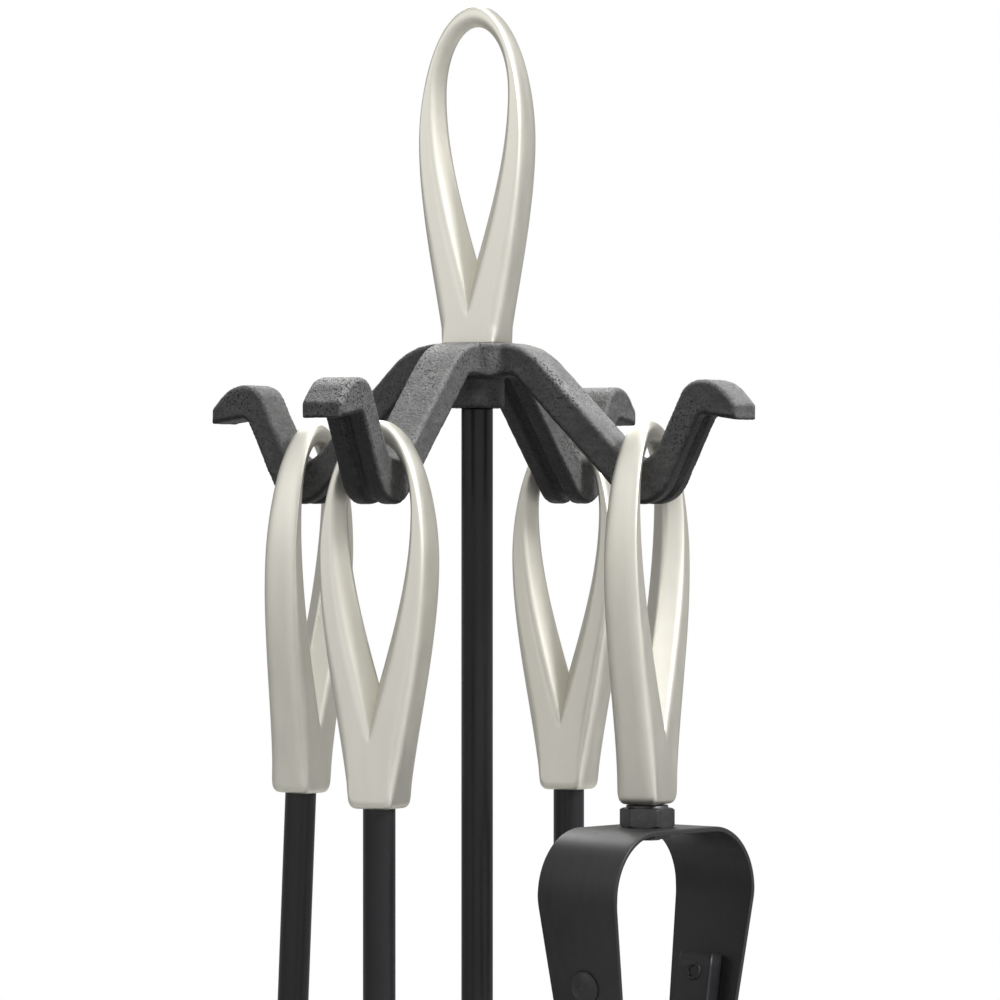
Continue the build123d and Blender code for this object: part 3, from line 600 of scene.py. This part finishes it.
# A second ring close to the middle keeps the shading level where the two halves meet
bow_half = np.insert(bow_half, 1, bow_half[0] + [0, 0.1, 0], axis=0)
leg_middle = BOW_THICK + LEG_THICK / 2
bend_y, bend_z = limb(LEG_BEND, leg_middle)
foot = (bend_y + (bend_z + FOOT_DROP) * tan(FOOT_SPREAD), -FOOT_DROP)
toe = (foot[0] - TOE_IN, foot[1] - TOE_DROP)
leg_path = route([limb(LEG_TOP, leg_middle), (bend_y, bend_z), foot, toe], LEG_ROUNDS, 1.5)
leg_bar = strip(leg_path, LEG_THICK, LEG_WIDTH, 1.1, -LEG_THICK / 2)


def dome(diameter, rise, steps=10):
    """A rivet's head as an (r, z) profile: an ellipse quarter over a cone sunk 1 mm into the face."""
    a = np.linspace(0, pi / 2, steps)
    return np.column_stack([np.append(0, np.cos(a) * diameter / 2), np.append(-1, np.sin(a) * rise)])


def collar_ring(inner, outer, rise, steps=9):
    """A rolled rivet end as a closed (r, z) ring: half an ellipse from the hole's edge to the outside,
    its foot sunk 1 mm into the face."""
    a = np.linspace(0, pi, steps)
    middle, half = (inner + outer) / 2, (outer - inner) / 2
    roll = np.column_stack([middle - half * np.cos(a), rise * np.sin(a)])
    return np.vstack([[(inner, -1.0)], roll, [(outer, -1.0)]])


def rivet_shell(place, profile):
    """A spun profile laid on a face of the limb at a place, its axis square to the face and outward."""
    x, y, z = np.moveaxis(spun(profile, 40), -1, 0)
    out, up = (cos(BOW_LEAN), -sin(BOW_LEAN)), (sin(BOW_LEAN), cos(BOW_LEAN))
    return np.stack([x, place[0] + z * out[0] + y * up[0], place[1] + z * out[1] + y * up[1]], -1)


# Points on the bow at its flat and this far down the limb, passed with the handle's and an arm's bodies; the
# bow rides on neither
blend_drop = 50.0
rolled_end = collar_ring(2.0, 3.75, 0.9) * [1, -1]
for side, word in ((1, "right"), (-1, "left")):
    body = "tongs_" + word + "_arm"
    start, end = (tongs_points(np.array([0.0, *point]), side) * MM
                  for point in ((BOW_FLAT, BOW_TOP), limb(blend_drop)))
    piece("bow_" + word, [skin(tongs_points(bow_half, side))], SPRING,
          ("tongs", body, tuple(start), tuple(end)), "tongs_bow")
    piece("leg_" + word, [skin(tongs_points(leg_bar, side))], SPRING, body, "tongs_" + word + "_leg")
    rivets = []
    for drop in RIVET_DROPS:
        outside, inside = limb(LEG_TOP + drop), limb(LEG_TOP + drop, BOW_THICK + LEG_THICK)
        rivets.append(skin(tongs_points(rivet_shell(outside, dome(RIVET_HEAD, RIVET_RISE)), side)))
        rivets.append(skin(tongs_points(rivet_shell(inside, rolled_end), side), wrap_u=True))
    piece("rivets_" + word, rivets, SPRING, body, "tongs_" + word + "_rivets")


def hex_nut(flats, bottom, height, bore, face):
    """A hexagon nut: r(a, z) is the smaller of the hexagon's reach, flats / 2 / cos(a to the flat), and
    a cone, 1.04 flats / 2 + 1.9 times the way in from the nearer end, that chamfers its corners. A round
    washer face, 0.88 flats wide with its edge broken by 0.3, stands on top."""
    angle = np.linspace(0, 2 * pi, 180, endpoint=False)
    to_flat = (angle + pi / 6) % (pi / 3) - pi / 6
    hexagon = flats / 2 / np.cos(to_flat)
    chamfer = min(1.0, height / 2)
    level = np.concatenate([np.linspace(0, chamfer, 8), np.linspace(height - chamfer, height, 8)])
    edge = np.minimum(level, height - level)
    cone = flats / 2 * 1.04 + edge * 1.9
    outside = np.minimum(hexagon[None, :], cone[:, None])
    collar, hole = flats * 0.44 + 0 * angle, bore + 0 * angle
    radius = np.vstack([hole, outside, collar, collar, collar - 0.3, hole])
    top = height + face
    z = np.concatenate([[0], level, [height, top - 0.3, top, top]])[:, None] + bottom
    return np.stack([radius * np.cos(angle), radius * np.sin(angle), z + 0 * angle], -1)


for name, flats, bottom, height, face in (("tongs_nut", 19.0, BOW_TOP, 7.5, 1.2),
                                          ("tongs_lower_nut", 16.0, BOW_TOP - 4.5, 2.3, 0.2)):
    nut = hung(turned(hex_nut(flats, bottom, height, NUT_BORE, face), TONGS_TWIST), "tongs")
    piece(name + "_hex", [skin(nut)], NUT, "tongs", name)


# Hanger casting


def lumps(points, cell, seed):
    """Smooth random values -1 to 1 over space: a seeded lattice of numbers, blended between its corners
    by t^2 (3 - 2t) along each axis."""
    size = 64
    table = np.random.default_rng(seed).uniform(-1, 1, (size, size, size))
    place = points / cell + size // 2
    low = np.floor(place).astype(int)
    t = place - low
    t = t * t * (3 - 2 * t)
    total = np.zeros(len(points))
    for corner in range(8):
        step = np.array([corner & 1, corner >> 1 & 1, corner >> 2 & 1])
        weight = np.prod(np.where(step, t, 1 - t), axis=1)
        x, y, z = ((low + step) % size).T
        total += weight * table[x, y, z]
    return total


def cast_copy(node_name, voxel, smooth, lump, grain):
    """A copy of a CAD solid as it leaves the sand: remeshed, its edges worn round by neighbour averaging
    (p moves 0.5 of the way to its neighbours' mean, then 0.53 back), and pushed along its normals by
    lumps 14 mm apart and by grain 2.6 and 1.3 mm apart."""
    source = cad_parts[node_name]
    work = bpy.data.objects.new("work", source.data.copy())
    bpy.context.collection.objects.link(work)
    weld = work.modifiers.new("weld", "WELD")
    weld.merge_threshold = 1e-6
    remesh = work.modifiers.new("remesh", "REMESH")
    remesh.mode, remesh.voxel_size = "VOXEL", voxel * MM
    bpy.context.view_layer.update()
    mesh = bpy.data.meshes.new_from_object(work.evaluated_get(bpy.context.evaluated_depsgraph_get()))
    bpy.data.objects.remove(work)
    mesh.materials.clear()
    count = len(mesh.vertices)
    points = np.empty(count * 3)
    mesh.vertices.foreach_get("co", points)
    points = points.reshape(-1, 3) / MM
    edges = np.empty(len(mesh.edges) * 2, int)
    mesh.edges.foreach_get("vertices", edges)
    a, b = edges.reshape(-1, 2).T
    degree = np.bincount(np.concatenate([a, b]), minlength=count)[:, None]
    for turn in range(smooth):
        for share in (0.5, -0.53):
            total = np.stack([np.bincount(a, points[b, k], count) + np.bincount(b, points[a, k], count)
                              for k in range(3)], -1)
            points = points + share * (total / degree - points)
    mesh.vertices.foreach_set("co", (points * MM).ravel())
    mesh.update()
    normals = np.empty(count * 3)
    mesh.vertex_normals.foreach_get("vector", normals)
    push = lump * lumps(points, 14.0, 1) + grain * lumps(points, 2.6, 2) + grain * 0.6 * lumps(points, 1.3, 3)
    points = points + normals.reshape(-1, 3) * push[:, None]
    mesh.vertices.foreach_set("co", (points * MM).ravel())
    return mesh


hooks = cast_copy("hanger_casting", voxel=0.9, smooth=12, lump=0.12, grain=0.10)
placed("hook_casting", hooks, IRON, "stand", "hanger_casting")


# Base

base = softened([(0, BASE_BOTTOM), (BASE_RADIUS, BASE_BOTTOM), (BASE_RADIUS, BASE_RIM),
                 (BASE_SEAT, POLE_BOTTOM), (0, POLE_BOTTOM)], [0, 1.6, 3.2, 3.0, 0], 8)
piece("base_casting", [skin(spun(base, 160)[1:-1])], IRON, "stand", "base_plate")
pad_edge = softened([(0, 0), (PAD_RADIUS, 0), (PAD_RADIUS, BASE_BOTTOM), (0, BASE_BOTTOM)], 0.8)
pad = spun(pad_edge, 48)[1:-1] + [PAD_CIRCLE, 0, 0]
pads = [skin(turned(pad, radians(45 + 360 / PAD_COUNT * k))) for k in range(PAD_COUNT)]
piece("base_pads", pads, RUBBER, "stand", "base_feet")


# Brush


def tufts(count, root, end, length, top):
    """Fibres from a disc of sunflower points, r = R sqrt(k / n), a = k times the golden angle, that spread
    to the end's radius as t^1.3 and wander a little; each is a four-sided taper, 0.42 mm in radius at
    its root."""
    k = np.arange(count) + 0.5
    radius, angle = root * np.sqrt(k / count), k * pi * (3 - 5 ** 0.5)
    t = np.linspace(0, 1, 5)[None, :]
    wander = rng.normal(0, 1, (3, count, 1))
    r = radius[:, None] * (1 + (end / root - 1) * t ** 1.3) + wander[0] * 0.7 * t
    a = angle[:, None] + wander[1] * 0.03 * t
    z = top - length * t * (1 - 0.02 * np.abs(wander[2]))
    r = np.minimum(r, end)
    centre = np.stack([r * np.cos(a), r * np.sin(a), z], -1)
    turn = np.arange(4) * pi / 2
    ring = np.stack([np.cos(turn), np.sin(turn), 0 * turn], -1)
    thick = 0.42 * (1 - 0.45 * t)[..., None, None]
    grid = centre[:, :, None, :] + ring * thick
    rows = np.arange(grid.size // 3).reshape(grid.shape[:3])
    beside = np.roll(rows, -1, axis=2)
    quads = np.stack([rows[:, 1:], beside[:, 1:], beside[:, :-1], rows[:, :-1]], -1).reshape(-1, 4)
    ends = np.concatenate([rows[:, -1, ::-1], rows[:, 0]])
    return grid.reshape(-1, 3), np.vstack([quads, ends]), np.zeros((0, 3), int)


# The ferrule flares as t^1.7 from the rod to its full radius, over a short straight rim
ferrule_top = -ROD_LENGTHS["brush"]
block_top = ferrule_top - FERRULE_HEIGHT
block_end = block_top - BLOCK_HEIGHT
flare_t = np.linspace(0, 1, 16)
flare = np.column_stack([TUBE_RADIUS + (FERRULE_RADIUS - TUBE_RADIUS) * flare_t ** 1.7,
                         ferrule_top - (FERRULE_HEIGHT - 0.8) * flare_t])
ferrule = np.vstack([[(0, ferrule_top)], flare, [(FERRULE_RADIUS, block_top), (0, block_top)]])
piece("brush_ferrule", [skin(hung(spun(ferrule), "brush")[1:-1])], PAINT, "brush", "brush_collar")
# Two V grooves, 1 mm deep, run round the block
grooves = [(BLOCK_RADIUS - deep, block_top - middle - across)
           for middle in (10.0, 18.0) for across, deep in ((-1.0, 0.0), (0.0, 1.0), (1.0, 0.0))]
block_edge = [(0, block_top), (BLOCK_RADIUS, block_top), *grooves, (BLOCK_RADIUS, block_end), (0, block_end)]
block = softened(block_edge, [0, 5.0, 0.5, 0.8, 0.5, 0.5, 0.8, 0.5, 1.2, 0])
piece("brush_head", [skin(hung(spun(block), "brush")[1:-1])], LACQUER, "brush", "brush_block")
tuft = tufts(FIBRES, TUFT_ROOT, TUFT_END, TUFT_LENGTH, block_end + 0.1)
piece("brush_fibres", [put(tuft, lambda p: hung(p, "brush"))], FIBRE, "brush", "brush_bristles")


# Shovel

neck_top = -ROD_LENGTHS["shovel"]
neck_end = neck_top - SHOVEL_NECK
crank = neck_end - STRAP_THICK
strap_path = route([(0, neck_top - STRAP_START), (0, crank), (-PAN_OFFSET, crank - PAN_OFFSET),
                    (-PAN_OFFSET, PAN_TOP - STRAP_LAP)], STRAP_ROUNDS, 1.0)
strap = strip(strap_path, STRAP_THICK, STRAP_WIDTH, 0.9, -STRAP_THICK / 2)[..., [1, 0, 2]]
neck = spun(softened([(0, neck_end), (TUBE_RADIUS, neck_end), (TUBE_RADIUS, neck_top), (0, neck_top)],
                     [0, 2.4, 0.6, 0]))[1:-1]
piece("shovel_strap", [skin(hung(strap, "shovel")), skin(hung(neck, "shovel"))], PAINT, "shovel", "shovel_tang")


def pan_channel(rows=40):
    """A scoop's channel: a U section with rounded back corners carried down while it widens and flattens.

    The outer and inner walls are one ring, and at both ends they run together on the wall's middle."""
    t = np.linspace(0, 1, rows)[:, None]
    z = PAN_TOP - PAN_LENGTH * t
    half, depth = PAN_HALF + PAN_FLARE * t, PAN_DEPTH - PAN_SHALLOWER * t
    front = PAN_BACK - depth
    corners = []
    for shift, order in ((0.0, (0, 1, 2, 3)), (PAN_WALL, (3, 2, 1, 0))):
        sides = [(front, -half + shift), (PAN_BACK - shift + 0 * t, -half + shift),
                 (PAN_BACK - shift + 0 * t, half - shift), (front, half - shift)]
        corners += [np.concatenate([*sides[k], z], -1) for k in order]
    inside = PAN_ROUND - PAN_WALL
    reach = np.array([0.4, PAN_ROUND, PAN_ROUND, 0.4, 0.4, inside, inside, 0.4])
    grid = rounded(np.stack(corners, 1), reach, 10)
    middle = (grid + grid[:, ::-1]) / 2
    return skin(np.concatenate([middle[:1], grid, middle[-1:]]), cap=False)


# A lid closes the scoop's top, its outline drawn in a little on both faces to break the edges
lid_front = PAN_BACK - PAN_DEPTH
lid_corners = np.array([[(lid_front, -PAN_HALF), (PAN_BACK, -PAN_HALF),
                         (PAN_BACK, PAN_HALF), (lid_front, PAN_HALF)]])
lid_edge = rounded(lid_corners, np.array([0.8, PAN_ROUND, PAN_ROUND, 0.8]), 10)[0]
lid_middle = lid_edge.mean(0)
lid = np.stack([
    np.column_stack([lid_middle + (lid_edge - lid_middle) * share, np.full(len(lid_edge), PAN_TOP - drop)])
    for share, drop in ((0.985, PAN_WALL), (1.0, 1.1), (1.0, 0.5), (0.985, 0.0))])
pan = [put(pan_channel(), lambda p: hung(p, "shovel")), skin(hung(lid, "shovel"))]
piece("shovel_scoop", pan, PAINT, "shovel", "shovel_pan", merge=True)
studs = []
x, y, z = np.moveaxis(spun(dome(STUD_HEAD, STUD_RISE), 32), -1, 0)
for drop in STUD_DROPS:
    for face, way in ((STRAP_THICK / 2, 1), (-STRAP_THICK / 2 - PAN_WALL, -1)):
        stud = np.stack([face - PAN_OFFSET + way * z, y, PAN_TOP - drop + x], -1)
        studs.append(skin(hung(stud, "shovel")))
piece("shovel_studs", studs, NUT, "shovel", "shovel_rivets")


# Poker

# The point widens evenly from a blunt tip with a soft edge, and the barb thins along its run to a round end
point_top = -ROD_LENGTHS["poker"]
point_t = np.linspace(0, 1, 30)
point = np.column_stack([POINT_TIP + (TUBE_RADIUS - POINT_TIP) * point_t,
                         point_top - POINT_LENGTH * (1 - point_t)])
point[0] = 1.6, point_top - POINT_LENGTH + 0.2
point = np.vstack([[(0, point_top - POINT_LENGTH)], point, [(0, point_top)]])
barb_path = route([(0, point_top - BARB_ROOT), (BARB_REACH, point_top - BARB_CORNER),
                   (BARB_REACH, point_top - BARB_END)], [BARB_ROUND], 1.0)
along = np.linspace(0, 1, len(barb_path))
barb_radius = BARB_RADIUS * np.sqrt(np.clip((1.0 - along) / 0.12, 0.02, 1)) * (1 - 0.25 * along)
barb = skin(hung(tubed(barb_path, barb_radius), "poker"))
piece("poker_point", [skin(hung(spun(point), "poker")[1:-1]), barb], PAINT, "poker", "poker_head")


# Fasteners that stay as their solids

for name, finish in (("base_washer", ZINC), ("base_bolt", ZINC), ("pole_bottom_insert", ZINC),
                     ("pole_top_insert", ZINC), ("top_stud", ZINC), ("tongs_stud", NUT)):
    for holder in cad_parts[name].material_slots:
        holder.material = finish


# Camera, light and stage

CAMERA_TURN, CAMERA_LENS = radians(29.3), 184.5
CAMERA_HEIGHT, CAMERA_RIGHT, CAMERA_AWAY, FLOOR_RADIUS = 0.521, 0.0092, 2.06, 1.5


def area(name, place, aim, size, power):
    """A round lamp at a place, turned to face its aim."""
    lamp = bpy.data.lights.new(name, "AREA")
    lamp.shape, lamp.size, lamp.energy = "DISK", size, power
    obj = bpy.data.objects.new(name, lamp)
    obj.location = place
    way = np.array(aim, float) - np.array(place, float)
    flat = np.hypot(way[0], way[1])
    obj.rotation_euler = (np.arctan2(flat, -way[2]), 0, np.arctan2(way[0], -way[1]) + pi)
    bpy.context.collection.objects.link(obj)


def camera():
    """The photo's own view: level, with the pole a little left of the middle."""
    view = np.array([-sin(CAMERA_TURN), cos(CAMERA_TURN), 0])
    right = np.array([cos(CAMERA_TURN), sin(CAMERA_TURN), 0])
    lens = bpy.data.cameras.new("camera")
    lens.lens, lens.sensor_width, lens.clip_start = CAMERA_LENS, 36.0, 0.05
    obj = bpy.data.objects.new("camera", lens)
    obj.location = np.array([0, 0, CAMERA_HEIGHT]) + right * CAMERA_RIGHT - view * CAMERA_AWAY
    obj.rotation_euler = (pi / 2, 0, CAMERA_TURN)
    bpy.context.collection.objects.link(obj)
    bpy.context.scene.camera = obj


def studio():
    """White behind the object for the camera, a room that is brighter to the front, right and top for
    gloss, and a tenth of that room for other rays; four lamps and a pale floor."""
    scene = bpy.context.scene
    scene.view_settings.view_transform = "Standard"
    world = bpy.data.worlds.new("studio")
    scene.world = world
    world.use_nodes = True
    tree = world.node_tree
    shader = tree.nodes["Background"]
    rays = node(tree, "ShaderNodeLightPath")
    way = node(tree, "ShaderNodeTexCoord")
    side = node(tree, "ShaderNodeVectorMath", {1: (0.55, -0.65, 0.5)}, operation="DOT_PRODUCT")
    room = node(tree, "ShaderNodeMapRange",
                {"From Min": -0.3, "From Max": 0.5, "To Min": 0.42, "To Max": 1.05})
    gloss = node(tree, "ShaderNodeMath", operation="MAXIMUM")
    dimmed = node(tree, "ShaderNodeMapRange", {"To Min": 0.1, "To Max": 1.0})
    lit = node(tree, "ShaderNodeMath", operation="MULTIPLY")
    level = node(tree, "ShaderNodeMix", {"B": 1.0})
    tree.links.new(way.outputs["Generated"], side.inputs[0])
    tree.links.new(side.outputs["Value"], room.inputs["Value"])
    tree.links.new(rays.outputs["Is Glossy Ray"], gloss.inputs[0])
    tree.links.new(rays.outputs["Is Transmission Ray"], gloss.inputs[1])
    tree.links.new(gloss.outputs[0], dimmed.inputs["Value"])
    tree.links.new(room.outputs["Result"], lit.inputs[0])
    tree.links.new(dimmed.outputs["Result"], lit.inputs[1])
    tree.links.new(lit.outputs[0], level.inputs["A"])
    tree.links.new(rays.outputs["Is Camera Ray"], level.inputs["Factor"])
    tree.links.new(level.outputs["Result"], shader.inputs["Strength"])
    shader.inputs["Color"].default_value = (1, 1, 1, 1)
    area("front", (-0.73, -1.31, 1.15), (0, 0, 0.6), 1.0, 2.0)
    area("right", (1.6, 0.1, 1.7), (0, 0, 0.5), 0.9, 36)
    area("top", (0.1, 0.1, 1.9), (0, 0, 0.5), 0.9, 6)
    area("back", (-0.9, 1.0, 1.6), (0, 0, 0.45), 1.0, 13)
    angle = np.linspace(0, 2 * pi, 96, endpoint=False)
    mesh = bpy.data.meshes.new("floor")
    rim = np.stack([FLOOR_RADIUS * np.cos(angle), FLOOR_RADIUS * np.sin(angle), 0 * angle], -1)
    mesh.from_pydata(rim.tolist(), [], [list(range(len(rim)))])
    floor = bpy.data.objects.new("floor", mesh)
    bpy.context.collection.objects.link(floor)
    pale = Finish("floor_pale", (0.80, 0.80, 0.79), (0.84, 0.84, 0.83), (0.7, 0.8), slow=2, quick=20)
    mesh.materials.append(pale.made)


camera()
studio()
